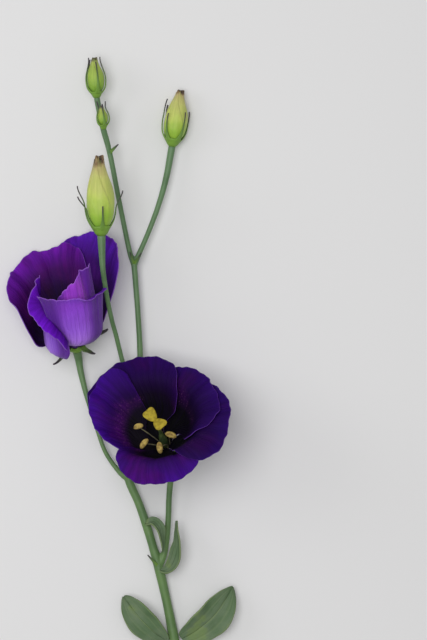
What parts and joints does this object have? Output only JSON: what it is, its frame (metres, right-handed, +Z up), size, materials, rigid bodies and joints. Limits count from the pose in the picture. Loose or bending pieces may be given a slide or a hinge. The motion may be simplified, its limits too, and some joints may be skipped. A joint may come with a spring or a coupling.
{
  "type": "lisianthus flower stem",
  "caption": "Cut lisianthus stem laid on a surface: a wide open bell-shaped bloom, a half-open bloom, closed buds and pointed leaves on slender forking stalks.",
  "frame": {"origin": "middle of the underside of the bounding box, on the surface that the stem lies on", "axes": "+Y along the stem from its cut end to its top bud, +Z up from the surface"},
  "size_m": [0.122, 0.329, 0.0601],
  "materials": {
    "green": "satin, fresh green skin",
    "petal": "velvety, violet",
    "anther": "matte, tan yellow",
    "pistil": "matte, yellow",
    "bud": "satin, yellow green",
    "leaf": "matte, bluish bloom on green"
  },
  "bodies": {
    "root": {"stem": "green", "front_bloom_calyx": "green", "front_bloom_corolla": "petal", "front_bloom_stamens": "anther", "front_bloom_pistil": "pistil", "side_bloom_calyx": "green", "side_bloom_corolla": "petal", "side_bloom_stamens": "anther", "side_bloom_pistil": "pistil", "tall_bud_calyx": "green", "tall_bud_petals": "bud", "top_bud_calyx": "green", "top_bud_petals": "bud", "small_bud_calyx": "green", "small_bud_petals": "bud", "resting_bud_calyx": "green", "resting_bud_petals": "bud", "low_left_leaf": "leaf", "low_right_leaf": "leaf", "middle_leaf": "leaf", "upper_leaf": "leaf"}
  },
  "joints": []
}
